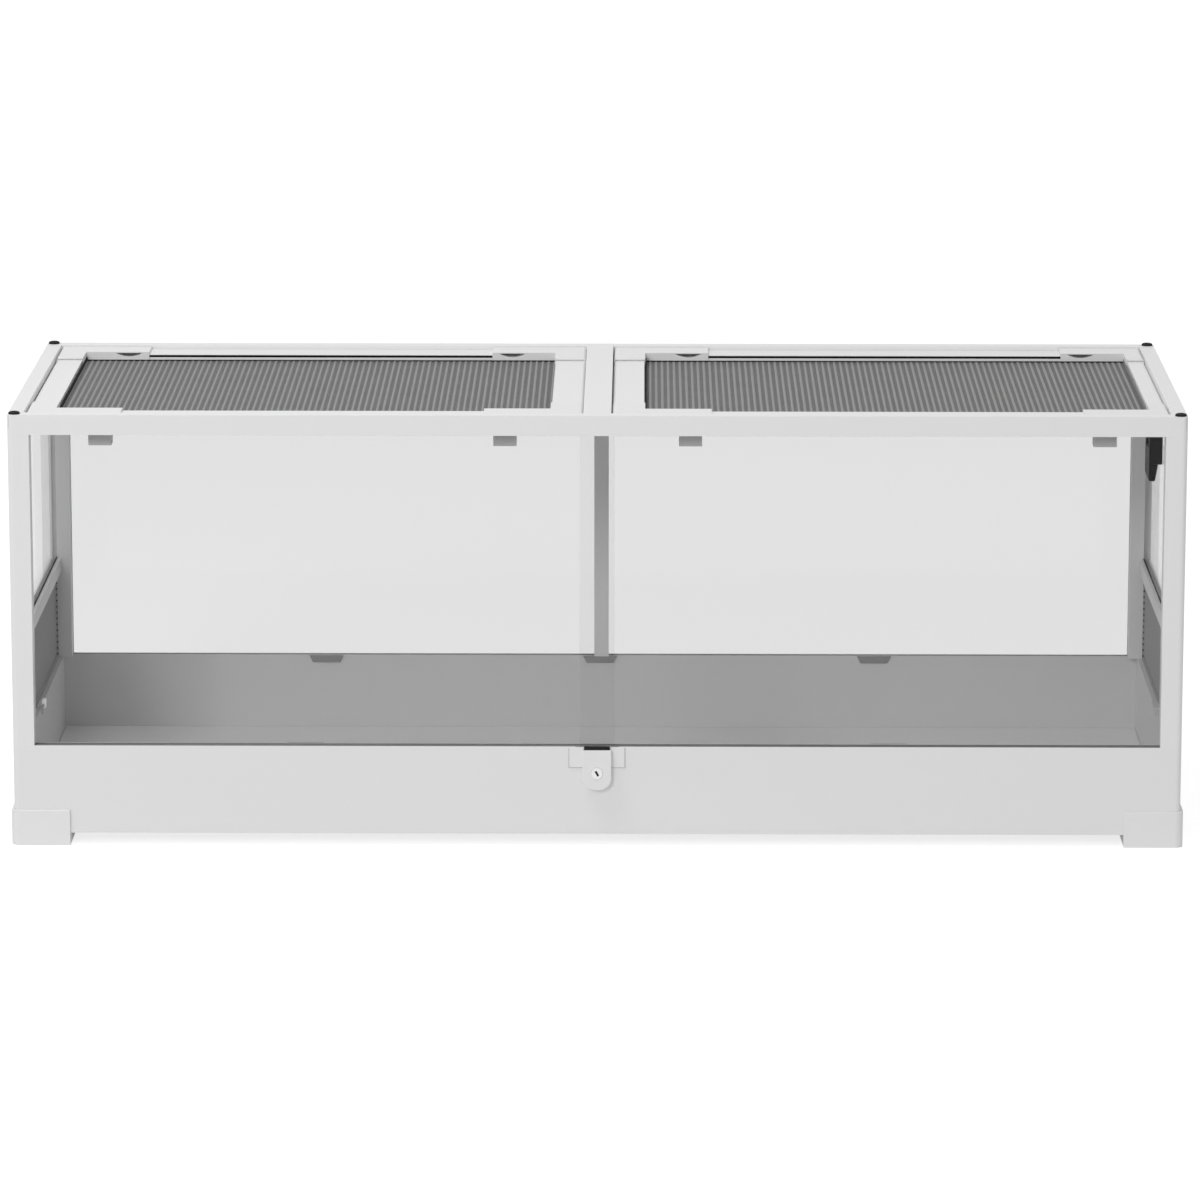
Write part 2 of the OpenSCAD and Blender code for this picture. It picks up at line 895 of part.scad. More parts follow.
module lock_body() {
    bolt_y = lock_face + bolt_set;
    color(WHITE) on_ground()
        difference() {
            translate([0, -half_d, 0])
                rotate([90, 0, 0]) linear_extrude(lock_d) lock_outline();
            // recess for the plate
            span_box(
                [-lock_w, lock_back, base_top - lock_plate_h],
                [lock_w, -half_d + cut, base_top + cut]
            );
            // bore of the key cylinder
            translate([0, lock_face - cut, key_z])
                rotate([-90, 0, 0])
                    cylinder(d = key_d + 2 * key_fit, h = key_depth + cut, $fn = smooth);
            // slot of the bolt
            span_box(
                [-bolt_w / 2 - bolt_fit, bolt_y - bolt_fit, lock_top - bolt_depth - bolt_fit],
                [bolt_w / 2 + bolt_fit, bolt_y + bolt_t + bolt_fit, lock_top + cut]
            );
        }
}

module lock_cylinder() {
    color(STEEL) on_ground()
        difference() {
            translate([0, lock_face - key_proud, key_z])
                rotate([-90, 0, 0])
                    cylinder(d = key_d, h = key_depth + key_proud - bolt_fit, $fn = smooth);
            // keyhole
            translate([0, lock_face - key_proud, key_z])
                rotate([0, -keyhole_tilt, 0])
                    cube([keyhole_w, 2 * keyhole_d, keyhole_l], center = true);
        }
}

module lock_bolt() {
    bolt_y = lock_face + bolt_set;
    color(BLACK) on_ground()
        span_box(
            [-bolt_w / 2, bolt_y, lock_top - bolt_depth],
            [bolt_w / 2, bolt_y + bolt_t, lock_top + bolt_show]
        );
}

// ---- cable inlet ----

// Hole for cables through the housing, the gate and the side pane
module cable_hole() {
    span_box(
        [inlet_face - cut, inlet_y - cable_w / 2, cable_z],
        [half_w + cut, inlet_y + cable_w / 2, cable_z + cable_h]
    );
}

module inlet_housing() {
    slot_x = inlet_face + gate_set - gate_fit;
    slot_top = cable_z + cable_h + gate_head + gate_fit;
    color(BLACK) on_ground()
        difference() {
            span_box(
                [inlet_face, inlet_y - inlet_w / 2, inlet_z],
                [inlet_face + inlet_t, inlet_y + inlet_w / 2, rail_z]
            );
            cable_hole();
            // slot of the gate
            span_box(
                [slot_x, inlet_y - gate_w / 2 - gate_fit, inlet_z - cut],
                [slot_x + gate_t + 2 * gate_fit, inlet_y + gate_w / 2 + gate_fit, slot_top]
            );
        }
}

module inlet_gate() {
    gate_x = inlet_face + gate_set;
    grip_top = inlet_z - grip_gap;
    grip_foot = inlet_z - grip_drop;
    color(BLACK) on_ground()
        difference() {
            union() {
                span_box(
                    [gate_x, inlet_y - gate_w / 2, grip_top - cut],
                    [gate_x + gate_t, inlet_y + gate_w / 2, cable_z + cable_h + gate_head]
                );
                // grip, thinner towards its lower edge
                translate([inlet_face, inlet_y + grip_w / 2, 0])
                    rotate([90, 0, 0])
                        linear_extrude(grip_w)
                            polygon([
                                [0, grip_foot],
                                [grip_foot_t, grip_foot],
                                [grip_t, grip_top],
                                [0, grip_top]
                            ]);
            }
            cable_hole();
        }
}

// ---- lids ----

// Places a lid, drawn about its own middle, on its side of the brace
module lid_place(side) {
    middle = (brace_w / 2 + half_w - rim_w) / 2;
    translate([side * middle + (lid_gap_left - lid_gap_right) / 2, 0, 0])
        for_side(side) children();
}

// Width of a lid's side bar: sx is 1 for the outer bar and -1 for the inner one
function side_bar_w(side, sx) = sx < 0 ? inner_bar_w : side == LEFT ? left_bar_w : right_bar_w;

// Inner edge of that bar
function open_x(side, sx) = sx * (lid_w / 2 - side_bar_w(side, sx));

// Middle of the latch in the corner beside that bar
function latch_x(side, sx) = open_x(side, sx) - sx * latch_reach;

// Slab that the screen needs inside the lid's frame
module screen_space(side, spare) {
    grow = screen_bite + spare;
    span_box(
        [open_x(side, -1) - grow, -open_d / 2 - grow, screen_z - spare],
        [open_x(side, 1) + grow, open_d / 2 + grow, screen_z + screen_t + spare]
    );
}

// Section of a lid bar, drawn as distance in from the lid's outer edge against height
module bar_section(width) {
    slot_top = lid_top - cord_slot_cover;
    difference() {
        span_rect([0, lid_z], [width, lid_top]);
        bar_hollow(width, 0);
        // slot of the rubber cord above the screen
        span_rect([width - cord_slot_d, slot_top - cord_slot_h], [width + cut, slot_top]);
    }
}

// Hollow of a lid bar, or the tenon in it when it is made smaller by the clearance
module bar_hollow(width, spare) {
    span_rect(
        [bar_wall + spare, lid_z + bar_wall + spare],
        [width - cord_slot_d - bar_wall - spare, lid_top - bar_wall - spare]
    );
}

// Extrudes a section along a lid's rear edge, or along its outer edge
module lid_along_x(from, to) {
    translate([from, lid_d / 2, 0])
        rotate([90, 0, 90])
            linear_extrude(to - from)
                mirror([1, 0]) children();
}

module lid_along_y(from, to) {
    translate([lid_w / 2, to, 0])
        rotate([90, 0, 0])
            linear_extrude(to - from)
                mirror([1, 0]) children();
}

// What the rounding takes off a lid's left or right top edge, for a top at the given height
module edge_waste(top) {
    difference() {
        span_rect([-cut, top - lid_edge_r], [lid_edge_r, top + cut]);
        translate([lid_edge_r, top - lid_edge_r]) circle(r = lid_edge_r, $fn = smooth);
    }
}

module lid_end_bar(side, end) {
    color(WHITE) on_ground()
        lid_place(side)
            difference() {
                for_end(end)
                    lid_along_x(open_x(side, -1) + corner_arm, open_x(side, 1) - corner_arm)
                        bar_section(bar_w);
                screen_space(side, screen_fit);
            }
}

module lid_side_bar(side, sx) {
    reach = open_d / 2 - corner_leg;
    color(WHITE) on_ground()
        lid_place(side)
            difference() {
                for_side(sx)
                    lid_along_y(-reach, reach)
                        difference() {
                            bar_section(side_bar_w(side, sx));
                            edge_waste(lid_top);
                        }
                screen_space(side, screen_fit);
            }
}

// Plan of one corner piece, at the rear
module corner_plan(side, sx) {
    outer = sx * lid_w / 2;
    inner_x = open_x(side, sx) - sx * corner_proud;
    inner_y = open_d / 2 - corner_proud;
    arm_end = open_x(side, sx) - sx * corner_arm;
    span_rect([min(outer, arm_end), inner_y], [max(outer, arm_end), lid_d / 2]);
    span_rect([min(outer, inner_x), open_d / 2 - corner_leg], [max(outer, inner_x), inner_y + cut]);
}

// Room for a latch's stem, from the lid's underside up to the roof of the scoop
module stem_slot() {
    span_box(
        [-stem_w / 2 - stem_fit, lid_d / 2 - stem_in - stem_t - latch_travel - stem_fit, lid_z - cut],
        [stem_w / 2 + stem_fit, lid_d / 2 - stem_in + stem_fit, scoop_top]
    );
}

// Half-moon recess for a finger in the inner face of a corner piece
module finger_scoop() {
    radius = (scoop_w * scoop_w / 4 + scoop_h * scoop_h) / (2 * scoop_h);
    inner_y = open_d / 2 - corner_proud;
    intersection() {
        translate([0, inner_y - cut, scoop_top - scoop_h + radius])
            rotate([-90, 0, 0]) cylinder(r = radius, h = scoop_d + cut, $fn = smooth);
        span_box(
            [-scoop_w, inner_y - 2 * cut, scoop_top - 2 * scoop_h],
            [scoop_w, inner_y + scoop_d + cut, scoop_top]
        );
    }
}

// One corner piece of a lid, at the rear, beside the outer (1) or the inner (-1) bar
module lid_corner(side, sx) {
    arm_end = open_x(side, sx) - sx * corner_arm;
    leg_end = open_d / 2 - corner_leg;
    difference() {
        union() {
            translate([0, 0, lid_z]) linear_extrude(corner_top - lid_z) corner_plan(side, sx);
            // tenons in the end bar and in the side bar
            lid_along_x(min(arm_end - sx * tenon_len, arm_end), max(arm_end - sx * tenon_len, arm_end))
                bar_hollow(bar_w, tenon_fit);
            for_side(sx)
                lid_along_y(leg_end - tenon_len, leg_end)
                    bar_hollow(side_bar_w(side, sx), tenon_fit);
        }
        screen_space(side, screen_fit);
        for_side(sx) lid_along_y(leg_end - cut, lid_d / 2 + cut) edge_waste(corner_top);
        // shadow line on the side bar
        span_box(
            [-lid_w, leg_end - cut, lid_top],
            [lid_w, leg_end + seam_d, lid_top + seam_h]
        );
        translate([latch_x(side, sx), 0, 0]) {
            stem_slot();
            finger_scoop();
        }
    }
}

module lid_corners(side) {
    color(WHITE) on_ground()
        lid_place(side)
            for (sx = [-1, 1], end = [FRONT, REAR]) for_end(end) lid_corner(side, sx);
}

module lid_screen(side) {
    width = open_x(side, 1) - open_x(side, -1);
    slots = floor((width - rib_w) / rib_pitch);
    bays = cross_ribs + 1;
    bay_d = open_d / bays;
    middle_x = (open_x(side, 1) + open_x(side, -1)) / 2;
    slot = [rib_pitch - rib_w, bay_d - 2 * rib_w];
    color(MESH) on_ground()
        lid_place(side)
            difference() {
                screen_space(side, 0);
                translate([0, 0, screen_z - cut])
                    linear_extrude(screen_t + 2 * cut)
                        for (s = [0 : slots - 1], b = [0 : bays - 1])
                            translate([
                                middle_x + (s - (slots - 1) / 2) * rib_pitch - slot[0] / 2,
                                -open_d / 2 + b * bay_d + rib_w
                            ])
                                square(slot);
            }
}

// Spring latch under a lid corner: its block stands beside the ledge, and its stem rises
// through the corner piece to the scoop
module lid_latch(side, sx, end) {
    block_y = lid_d / 2 - latch_in;
    stem_y = lid_d / 2 - stem_in;
    color(GREY) on_ground()
        lid_place(side)
            for_end(end)
                translate([latch_x(side, sx), 0, 0]) {
                    span_box(
                        [-latch_w / 2, block_y - latch_d, latch_top - latch_h],
                        [latch_w / 2, block_y, latch_top]
                    );
                    span_box(
                        [-stem_w / 2, stem_y - stem_t, latch_top - cut],
                        [stem_w / 2, stem_y, scoop_top - stem_fit]
                    );
                }
}

post(LEFT, FRONT);  // post_front_left
post(RIGHT, FRONT);  // post_front_right
post(LEFT, REAR);  // post_rear_left
post(RIGHT, REAR);  // post_rear_right
post_plugs();
foot(LEFT, FRONT);  // foot_front_left
foot(RIGHT, FRONT);  // foot_front_right
foot(LEFT, REAR);  // foot_rear_left
foot(RIGHT, REAR);  // foot_rear_right
foot_screws();
base_panel_front();
base_panel_rear();
base_panel_side(LEFT);  // base_panel_left
base_panel_side(RIGHT);  // base_panel_right
floor_panel();
base_clips();
top_rail_front();
top_rail_rear();
top_rail_side(LEFT);  // top_rail_left
top_rail_side(RIGHT);  // top_rail_right
lid_brace();
rear_centre_post();
mid_rail(LEFT);  // mid_rail_left
mid_rail(RIGHT);  // mid_rail_right
vent_panel(LEFT);  // vent_panel_left
vent_panel(RIGHT);  // vent_panel_right
door_track_upper();
door_track_lower();
lock_plate();
lock_body();
lock_cylinder();
lock_bolt();
inlet_housing();
inlet_gate();
lid_end_bar(LEFT, FRONT);  // lid_left_front_bar
lid_end_bar(LEFT, REAR);  // lid_left_rear_bar
lid_side_bar(LEFT, 1);  // lid_left_outer_bar
lid_side_bar(LEFT, -1);  // lid_left_inner_bar
lid_corners(LEFT);  // lid_left_corners
lid_screen(LEFT);  // lid_left_screen
lid_latch(LEFT, 1, FRONT);  // lid_left_latch_front_outer
lid_latch(LEFT, -1, FRONT);  // lid_left_latch_front_inner
lid_latch(LEFT, 1, REAR);  // lid_left_latch_rear_outer
lid_latch(LEFT, -1, REAR);  // lid_left_latch_rear_inner
lid_end_bar(RIGHT, FRONT);  // lid_right_front_bar
lid_end_bar(RIGHT, REAR);  // lid_right_rear_bar
lid_side_bar(RIGHT, 1);  // lid_right_outer_bar
lid_side_bar(RIGHT, -1);  // lid_right_inner_bar
lid_corners(RIGHT);  // lid_right_corners
lid_screen(RIGHT);  // lid_right_screen
lid_latch(RIGHT, 1, FRONT);  // lid_right_latch_front_outer
lid_latch(RIGHT, -1, FRONT);  // lid_right_latch_front_inner
lid_latch(RIGHT, 1, REAR);  // lid_right_latch_rear_outer
lid_latch(RIGHT, -1, REAR);  // lid_right_latch_rear_inner
rear_glass(LEFT);  // rear_glass_left
rear_glass(RIGHT);  // rear_glass_right
side_glass(LEFT);  // side_glass_left
side_glass(RIGHT);  // side_glass_right
door(LEFT, 1);  // door_left
door(RIGHT, 0);  // door_right
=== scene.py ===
# %% [markdown]
# # A glazed reptile terrarium
#
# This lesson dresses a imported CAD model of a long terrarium. The real object is a white
# profile frame with glass walls, two sliding glass doors and two screen lids. The CAD model
# fixes where every piece is; here each piece gets softened edges, its fine detail and a
# material, and then the scene gets its floor, lamps and camera.

# %% Start from an empty scene and load the frame
import bpy
import bmesh
import json
from math import cos, pi, radians, sin
from mathutils import Matrix, Vector

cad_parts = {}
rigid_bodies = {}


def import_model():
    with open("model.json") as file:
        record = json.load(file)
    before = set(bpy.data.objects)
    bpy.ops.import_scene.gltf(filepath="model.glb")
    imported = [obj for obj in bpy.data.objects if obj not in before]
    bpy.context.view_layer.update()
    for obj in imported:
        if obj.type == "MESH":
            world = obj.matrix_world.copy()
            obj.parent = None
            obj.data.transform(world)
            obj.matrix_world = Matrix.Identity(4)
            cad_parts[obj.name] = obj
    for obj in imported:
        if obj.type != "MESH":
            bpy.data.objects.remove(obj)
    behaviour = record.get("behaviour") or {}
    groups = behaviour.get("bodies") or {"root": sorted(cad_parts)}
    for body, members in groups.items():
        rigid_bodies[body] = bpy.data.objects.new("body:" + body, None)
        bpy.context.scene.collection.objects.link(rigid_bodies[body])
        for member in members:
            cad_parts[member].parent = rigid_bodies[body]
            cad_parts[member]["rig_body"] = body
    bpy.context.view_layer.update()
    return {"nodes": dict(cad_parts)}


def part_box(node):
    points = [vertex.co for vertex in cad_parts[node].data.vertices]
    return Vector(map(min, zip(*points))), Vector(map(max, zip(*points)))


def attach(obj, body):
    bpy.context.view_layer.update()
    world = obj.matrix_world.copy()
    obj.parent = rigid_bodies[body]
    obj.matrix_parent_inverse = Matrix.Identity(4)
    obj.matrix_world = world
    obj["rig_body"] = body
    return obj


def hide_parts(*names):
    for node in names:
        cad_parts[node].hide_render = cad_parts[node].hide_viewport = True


for leftover in list(bpy.data.objects):
    bpy.data.objects.remove(leftover)
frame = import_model()

# %% [markdown]
# ## Sizes
#
# Blender works in metres, while a maker thinks in millimetres, so lengths below are written
# as a number of millimetres times MM.

# %% Units and the sides of the case
MM = 0.001
SIDES = ("left", "right")
ENDS = ("front", "rear")


def low_high(node):
    """Lowest and highest corner of a CAD node."""
    low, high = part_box(node)
    return Vector(low), Vector(high)


def body_of_node(node):
    """Name of the body that a CAD node rides on."""
    return frame["nodes"][node]["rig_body"]


# %% [markdown]
# ## Shader maths in plain Python
#
# A material that varies over a surface needs a chain of Math nodes. Linked by hand such a
# chain is hard to read, so a small class wraps a socket and overloads the operators: writing
# `0.4 + 0.1 * mask` then adds the nodes. Colours don't go through it, because a Math node
# would turn them grey.

# %% A value that writes its own Math nodes
class Value:
    """A number that varies over a surface: the output socket of a node."""

    def __init__(self, wiring, socket):
        self.wiring = wiring
        self.socket = socket

    def maths(self, operation, first, second):
        node = self.wiring.node("ShaderNodeMath", {"operation": operation}, {0: first, 1: second})
        return Value(self.wiring, node.outputs[0])

    def __add__(self, other):
        return self.maths("ADD", self, other)

    def __sub__(self, other):
        return self.maths("SUBTRACT", self, other)

    def __mul__(self, other):
        return self.maths("MULTIPLY", self, other)

    __radd__ = __add__
    __rmul__ = __mul__


# %% Adding nodes to a tree
class Wiring:
    """Adds nodes to the tree of a material or of the world, and links them."""

    def __init__(self, tree):
        self.tree = tree

    def node(self, kind, settings=None, inputs=None):
        """Adds a node: its settings come first, then the values or links of its sockets."""
        node = self.tree.nodes.new(kind)
        for key, value in (settings or {}).items():
            setattr(node, key, value)
        for socket, value in (inputs or {}).items():
            self.link(node.inputs[socket], value)
        return node

    def link(self, socket, value):
        """Links a socket, or sets it when the value is a plain number or colour."""
        if isinstance(value, Value):
            self.tree.links.new(value.socket, socket)
        elif isinstance(value, bpy.types.NodeSocket):
            self.tree.links.new(value, socket)
        else:
            socket.default_value = value

    def shown(self):
        """One for rays from the camera, from a mirror or through glass, and zero for light."""
        rays = self.node("ShaderNodeLightPath")
        seen = Value(self, rays.outputs["Is Camera Ray"])
        mirrored = Value(self, rays.outputs["Is Glossy Ray"])
        through = Value(self, rays.outputs["Is Transmission Ray"])
        either = seen.maths("MAXIMUM", seen, mirrored)
        return either.maths("MAXIMUM", either, through)


# %% The material builder
class Shader(Wiring):
    """Builds one material around a Principled shader."""

    def __init__(self, name, **plain):
        self.material = bpy.data.materials.new(name)
        self.material.use_nodes = True
        super().__init__(self.material.node_tree)
        self.surface = self.tree.nodes["Principled BSDF"]
        for socket, value in plain.items():
            self.surface.inputs[socket.replace("_", " ")].default_value = value

    def drive(self, socket, value):
        """Feeds one socket of the Principled shader."""
        self.link(self.surface.inputs[socket], value)

    def places(self, stretch=(1, 1, 1)):
        """Object coordinates, stretched so that a pattern runs along a profile."""
        coordinates = self.node("ShaderNodeTexCoord").outputs["Object"]
        mapping = self.node("ShaderNodeMapping", {}, {"Vector": coordinates, "Scale": stretch})
        return mapping.outputs["Vector"]

    def noise(self, scale, detail=2.0, stretch=(1, 1, 1)):
        """Cloudy noise from 0 to 1; scale is in waves per metre."""
        node = self.node(
            "ShaderNodeTexNoise", {},
            {"Vector": self.places(stretch), "Scale": scale, "Detail": detail},
        )
        return Value(self, node.outputs["Fac"])

    def blend(self, mask, first, second):
        """A colour between two colours."""
        node = self.node("ShaderNodeMix", {"data_type": "RGBA"}, {0: mask, 6: first, 7: second})
        return node.outputs[2]

    def emboss(self, height, distance):
        """Bumps the surface by a height of 0 to 1 times a distance in metres."""
        bump = self.node(
            "ShaderNodeBump", {}, {"Height": height, "Distance": distance, "Strength": 1.0}
        )
        self.drive("Normal", bump.outputs["Normal"])


def grey(level):
    """An opaque neutral colour in linear light."""
    return (level, level, level, 1.0)


# %% [markdown]
# ## White finishes
#
# The profiles are coated aluminium. A coat isn't one flat colour: it has a fine orange peel
# that breaks the gloss, and it is a touch thicker here and thinner there. Two noises give
# that, one of less than a millimetre for the bump and one of some centimetres for the tone.
# The mouldings and the base panels have the same white, but another texture; only the rear base
# panel is set darker, as painted shade inside the case, and the floor panel lighter, as painted
# light on it. On the panels the noise is stretched along the case, as a rolled sheet has it.

# %% Coated profiles, moulded plastic and sheet panels
WHITE = 0.80
ROLLED = (0.15, 1, 1)


def white_finish(name, level, roughness, grain, grain_height, stretch=(1, 1, 1), painted_glow=0.0):
    """A white satin surface with a fine grain, a faint cloudiness and, if asked, a painted glow that
    stands in for light.
    """
    finish = Shader(name, Specular_IOR_Level=0.4, Emission_Color=grey(1.0), Emission_Strength=painted_glow)
    cloud = finish.noise(9.0, 3.0, stretch)
    fine = finish.noise(grain, 2.0, stretch)
    finish.drive("Base Color", finish.blend(cloud, grey(level * 0.985), grey(level * 1.01)))
    finish.drive("Roughness", roughness + 0.08 * (cloud - 0.5) + 0.06 * (fine - 0.5))
    finish.emboss(fine, grain_height)
    return finish.material


coat = white_finish("white_coat", WHITE, 0.42, 900.0, 0.02 * MM)
moulded = white_finish("white_moulded", WHITE, 0.5, 1600.0, 0.02 * MM)
sheet_white = white_finish("white_sheet", WHITE * 0.985, 0.46, 420.0, 0.03 * MM, ROLLED)
# Painted shade: the rear base panel is the same white as the others, set darker for the shade inside
# the case.
rear_white_painted_shade = white_finish("rear_sheet_painted_shade", 0.71, 0.46, 420.0, 0.03 * MM, ROLLED)
# Painted light: the floor panel is set lighter than the walls for the light that falls on it.
floor_white_painted_light = white_finish("floor_sheet_painted_light", 0.93, 0.5, 420.0, 0.03 * MM, ROLLED)
casting = white_finish("white_casting", WHITE, 0.38, 700.0, 0.03 * MM)
cylinder_white = white_finish("cylinder_face", 0.92, 0.25, 900.0, 0.01 * MM)
print("white finishes:", len(bpy.data.materials))

# %% [markdown]
# ## Glass
#
# A pane of real window glass is a thin slab. A full glass shader would bend and darken every
# ray through its two faces, so each face is instead a mixture of two simple things: a
# transparent shader with a slight tint, and a clean mirror. Fresnel's law says how much of
# each: looked at squarely, glass hardly mirrors; at a slant it becomes a mirror, which is why
# the side panes show the rear posts twice. Each kind of pane has its own share for a square
# look, and a limit keeps slanting panes clear.

# %% Clear panes
MIRROR_LIMIT = 0.33
GLASS_IOR = 1.5
SQUARE_MIRROR = 0.04


def glass_finish(name, tint, squarely):
    """One face of a pane: a tinted clear sheet that mirrors more at a slant."""
    finish = Shader(name, Metallic=1.0, Base_Color=grey(0.88))
    smudge = finish.noise(14.0, 4.0)
    finish.drive("Roughness", 0.01 + 0.03 * smudge)
    clear = finish.node("ShaderNodeBsdfTransparent", {}, {"Color": grey(tint)})
    slant = Value(finish, finish.node("ShaderNodeFresnel", {}, {"IOR": GLASS_IOR}).outputs[0])
    share = slant.maths("MINIMUM", slant - SQUARE_MIRROR + squarely, MIRROR_LIMIT)
    mixture = finish.node(
        "ShaderNodeMixShader", {},
        {0: share, 1: clear.outputs[0], 2: finish.surface.outputs[0]},
    )
    finish.link(finish.tree.nodes["Material Output"].inputs["Surface"], mixture.outputs[0])
    return finish.material


door_pane = glass_finish("door_pane", 0.965, 0.008)
rear_pane = glass_finish("rear_pane", 0.85, 0.006)
side_pane = glass_finish("side_pane", 0.93, 0.03)
print("glass:", door_pane.name, rear_pane.name, side_pane.name)

# %% [markdown]
# ## Dark, grey and metal finishes
#
# The screens are coated wire, so their grey is rough and a little uneven; the cross wires are set
# darker than the ribs, as painted shade in the screen's valleys. The corner screws' heads, the
# cable inlet and the lock's bolt are black with a moulded grain, and the latches and clips are
# grey. The door tracks get a dark grey as painted shade in their channels. The thumb button is
# thin pale nylon with a painted glow, an emission that stands in for a highlight.

# %% Screen wire, plastics and steel
def speckled_finish(name, level, roughness, metallic, grain, height, gloss=0.4):
    """A dark surface with a visible grain."""
    finish = Shader(name, Metallic=metallic, Specular_IOR_Level=gloss)
    fine = finish.noise(grain, 3.0)
    cloud = finish.noise(30.0, 2.0)
    tone = 0.5 * fine + 0.5 * cloud
    finish.drive("Base Color", finish.blend(tone, grey(level * 0.85), grey(level * 1.15)))
    finish.drive("Roughness", roughness + 0.14 * (fine - 0.5))
    finish.emboss(fine, height)
    return finish.material


rib_grey = speckled_finish("screen_rib", 0.25, 0.6, 0.0, 1500.0, 0.03 * MM)
# Painted shade: the cross wires are the same coated wire as the ribs, set darker for the shade in the
# screen's valleys.
wire_grey_painted_shade = speckled_finish("screen_wire", 0.17, 0.6, 0.0, 1500.0, 0.03 * MM)
vent_grey = speckled_finish("vent_wire", 0.42, 0.6, 0.0, 1500.0, 0.03 * MM)
black = speckled_finish("black_moulded", 0.014, 0.55, 0.0, 1200.0, 0.005 * MM, 0.12)
black_rubber_and_painted_shade = speckled_finish("cord_black_and_painted_shade", 0.01, 0.75, 0.0, 2200.0, 0.01 * MM, 0.1)
latch_grey = speckled_finish("grey_moulded", 0.56, 0.5, 0.0, 1400.0, 0.02 * MM)
# Painted shade: the door tracks get a dark grey for the shade in their channels.
track_grey_painted_shade = speckled_finish("track_grey_painted_shade", 0.3, 0.5, 0.0, 1400.0, 0.02 * MM)
clip_grey = speckled_finish("clip_grey", 0.31, 0.5, 0.0, 1400.0, 0.02 * MM)
screw_steel = speckled_finish("screw_steel", 0.5, 0.35, 1.0, 900.0, 0.01 * MM)
# Painted light: the thumb button's nylon glows, an emission that stands in for a highlight.
nylon_painted_light = white_finish("clip_painted_light", 0.9, 0.4, 900.0, 0.02 * MM, painted_glow=0.25)
stud_grey = speckled_finish("stud_grey", 0.045, 0.6, 0.0, 1500.0, 0.02 * MM, 0.1)
print("finishes so far:", len(bpy.data.materials))

# %% [markdown]
# ## From a bmesh to a piece
#
# Every piece ends in the same way: its mesh becomes an object at the origin, takes a
# material, rides on the body of the node it stands for and hides that node. Faces are shaded
# smooth and only the real corners are kept sharp, and the Weighted Normal modifier keeps
# large flats flat right up to their softened edges.

# %% Finish a piece
SHARP = radians(50)


def finish_piece(bm, name, material, node, replaces=True):
    """Makes an object of a bmesh and puts it in place of a CAD node."""
    for face in bm.faces:
        face.smooth = True
    for edge in bm.edges:
        edge.smooth = len(edge.link_faces) == 2 and edge.calc_face_angle(pi) < SHARP
    mesh = bpy.data.meshes.new(name)
    bm.to_mesh(mesh)
    bm.free()
    piece = bpy.data.objects.new(name, mesh)
    bpy.context.scene.collection.objects.link(piece)
    mesh.materials.append(material)
    flat = piece.modifiers.new("flat_faces", "WEIGHTED_NORMAL")
    flat.keep_sharp = True
    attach(piece, body_of_node(node))
    if replaces:
        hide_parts(node)
    return piece


# %% [markdown]
# ## Softened copies of the solids
#
# A profile's shape is right in the CAD model, but its edges are perfectly sharp, and nothing
# real is: an extruded, cut and coated edge has a small radius that catches the light. A copy
# of the node's mesh is merged, its flat triangles are joined, and every edge that turns by
# more than thirty degrees gets a bevel of two segments. The mitres of the base and of the top
# frame are left out: there two members meet flush, so their cut edges stay sharp.

# %% Copy a node and bevel it
MERGE = 0.001 * MM
CORNER = radians(30)
MITRE_AREA = 100 * MM * MM


def copy_of(node):
    """A bmesh of a CAD node, with its doubles merged and its flat triangles joined."""
    bm = bmesh.new()
    bm.from_mesh(frame["nodes"][node].data)
    bmesh.ops.remove_doubles(bm, verts=bm.verts, dist=MERGE)
    bmesh.ops.dissolve_limit(bm, angle_limit=radians(0.5), verts=bm.verts, edges=bm.edges)
    return bm


def on_mitre(edge):
    """Whether an edge bounds the cut face of a mitre, which is large and runs aslant in plan."""
    for face in edge.link_faces:
        aslant = min(abs(face.normal.x), abs(face.normal.y)) > 0.2
        if aslant and face.calc_area() > MITRE_AREA:
            return True
    return False


def soften(bm, radius, edges=None, segments=2):
    """Rounds the given edges, or all that turn by more than thirty degrees."""
    if edges is None:
        edges = [
            e for e in bm.edges
            if len(e.link_faces) == 2 and e.calc_face_angle(0) > CORNER and not on_mitre(e)
        ]
    bmesh.ops.bevel(
        bm, geom=edges, offset=radius, offset_type="OFFSET", segments=segments,
        profile=0.5, affect="EDGES", clamp_overlap=True, material=-1,
    )
    return bm


def softened(node, radius, material, segments=2):
    """Puts a softened copy in place of a node."""
    bm = soften(copy_of(node), radius, segments=segments)
    return finish_piece(bm, node + "_shell", material, node)


# %% [markdown]
# ## Small bars
#
# Wires, seals and cords are all long boxes with softened edges, so one function makes a box
# from two of its corners. It scales and shifts the unit cube of bmesh.

# %% Bars between two corners
def add_bar(bm, low, high):
    """Adds a box between two corners to a bmesh and returns its vertices."""
    centre = (Vector(low) + Vector(high)) / 2
    size = Vector(high) - Vector(low)
    place = Matrix.Translation(centre) @ Matrix.Diagonal((*size, 1.0))
    return bmesh.ops.create_cube(bm, size=1.0, matrix=place)["verts"]


def ridge_edges(verts):
    """The two upper long edges of a bar that runs from front to rear, for rounding its back."""
    top = max(v.co.z for v in verts)
    found = set()
    for vert in verts:
        for edge in vert.link_edges:
            first, last = (end.co for end in edge.verts)
            lengthwise = abs(first.y - last.y) > 0.1 * MM
            if lengthwise and min(first.z, last.z) > top - 0.001 * MM:
                found.add(edge)
    return list(found)


# %% [markdown]
# ## Frame, feet and base
#
# The posts, rails and walls are cut from coated profiles, with an edge of about half a
# millimetre. The corner shoes and the lids' corner pieces are moulded, which gives them
# rounder edges.

